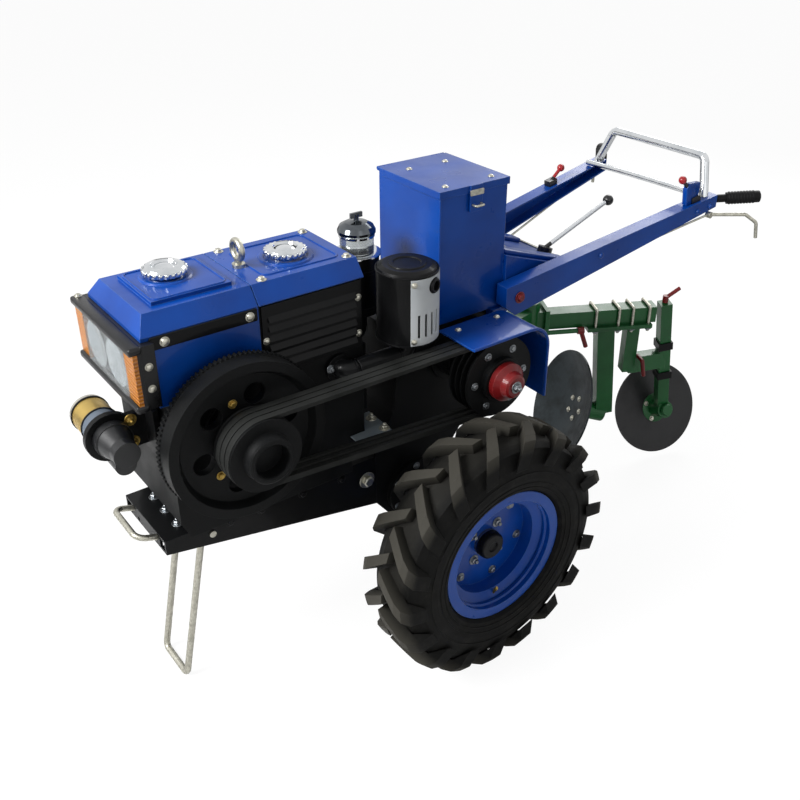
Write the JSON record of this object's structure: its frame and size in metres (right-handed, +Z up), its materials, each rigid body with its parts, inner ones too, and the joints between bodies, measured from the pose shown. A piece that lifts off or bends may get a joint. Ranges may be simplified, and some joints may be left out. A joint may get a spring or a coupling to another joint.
{
  "type": "power tiller",
  "caption": "Two-wheeled walking tractor with an exposed diesel engine, belt drive, toolbox, handlebars and a mounted disc plough.",
  "frame": {"origin": "middle of the bounding box in plan, on the ground", "axes": "+X forward, +Y to the operator's left, +Z up"},
  "size_m": [1.9798, 0.978, 1.1023],
  "materials": {
    "blue_paint": "gloss enamel",
    "black_paint": "semi-gloss enamel",
    "dark_casting": "painted casting",
    "green_paint": "gloss enamel",
    "red_paint": "gloss enamel",
    "white_paint": "satin enamel",
    "zinc_steel": "zinc plated",
    "bare_steel": "turned",
    "chrome_plate": "bright plated",
    "yellow_zinc": "yellow zinc plated",
    "lamp_plastic": "moulded",
    "clear_lens": "ribbed",
    "amber_lens": "moulded",
    "clear_bowl": "moulded",
    "belt_rubber": "matte",
    "grip_rubber": "moulded",
    "tyre_rubber": "moulded"
  },
  "bodies": {
    "chassis": {"frame": "black_paint", "bumper": "zinc_steel", "gearbox": "dark_casting", "gear_cover": "blue_paint", "engine_block": "dark_casting", "side_panels": "black_paint", "hood": "blue_paint", "fuel_tank": "blue_paint", "filler_caps": "chrome_plate", "lifting_eye": "zinc_steel", "lamp_housing": "lamp_plastic", "lamp_lens": "clear_lens", "amber_lenses": "amber_lens", "starter_motor": "yellow_zinc", "starter_bracket": "black_paint", "muffler": "black_paint", "muffler_guard": "white_paint", "air_cleaner": "black_paint", "air_cleaner_bowl": "clear_bowl", "air_cleaner_cap": "chrome_plate", "belts": "belt_rubber", "belt_fender": "blue_paint", "toolbox": "blue_paint", "handle_arms": "blue_paint", "handle_hoop": "chrome_plate", "grips": "grip_rubber", "steering_levers": "zinc_steel", "control_levers": "black_paint", "plough_hitch": "green_paint", "plough_beam": "green_paint", "plough_standards": "green_paint", "plough_cranks": "red_paint"},
    "stand": {"stand": "zinc_steel"},
    "wheel_left": {"tyre_left": "tyre_rubber", "rim_left": "blue_paint", "axle_left": "bare_steel"},
    "wheel_right": {"tyre_right": "tyre_rubber", "rim_right": "blue_paint", "axle_right": "bare_steel"},
    "crankshaft": {"flywheel": "dark_casting", "engine_pulley": "dark_casting"},
    "clutch": {"clutch_pulley": "dark_casting", "clutch_hub": "red_paint"},
    "lid": {"toolbox_lid": "blue_paint"},
    "disc_spindle": {"plough_disc": "bare_steel"},
    "tail_spindle": {"tail_disc": "black_paint"}
  },
  "joints": [
    {"name": "wheel_left_spin", "type": "hinge", "parent": "chassis", "child": "wheel_left", "pos_m": [0.20789, 0.405, 0.32], "axis": [0, 1, 0], "continuous": true},
    {"name": "wheel_right_spin", "type": "hinge", "parent": "chassis", "child": "wheel_right", "pos_m": [0.20789, -0.405, 0.32], "axis": [0, 1, 0], "continuous": true},
    {"name": "crankshaft_spin", "type": "hinge", "parent": "chassis", "child": "crankshaft", "pos_m": [0.70789, 0.177, 0.704], "axis": [0, 1, 0], "continuous": true},
    {"name": "clutch_spin", "type": "hinge", "parent": "chassis", "child": "clutch", "pos_m": [0.08289, 0.247, 0.678], "axis": [0, 1, 0], "continuous": true},
    {"name": "stand_fold", "type": "hinge", "parent": "chassis", "child": "stand", "pos_m": [0.77289, 0, 0.429], "axis": [0, 1, 0], "range_deg": [0, 70]},
    {"name": "lid_hinge", "type": "hinge", "parent": "chassis", "child": "lid", "pos_m": [0.04239, -0.125, 1.0966], "axis": [1, 0, 0], "range_deg": [0, 100]},
    {"name": "disc_spin", "type": "hinge", "parent": "chassis", "child": "disc_spindle", "pos_m": [-0.57711, -0.06, 0.19419], "axis": [0.8638, -0.3846, 0.3256], "continuous": true},
    {"name": "tail_disc_spin", "type": "hinge", "parent": "chassis", "child": "tail_spindle", "pos_m": [-0.84411, 0.052, 0.15308], "axis": [0.2556, 0.8913, 0.3746], "continuous": true}
  ],
  "couplings": [
    {"joint": "clutch_spin", "follows": "crankshaft_spin", "ratio": 0.80392}
  ]
}
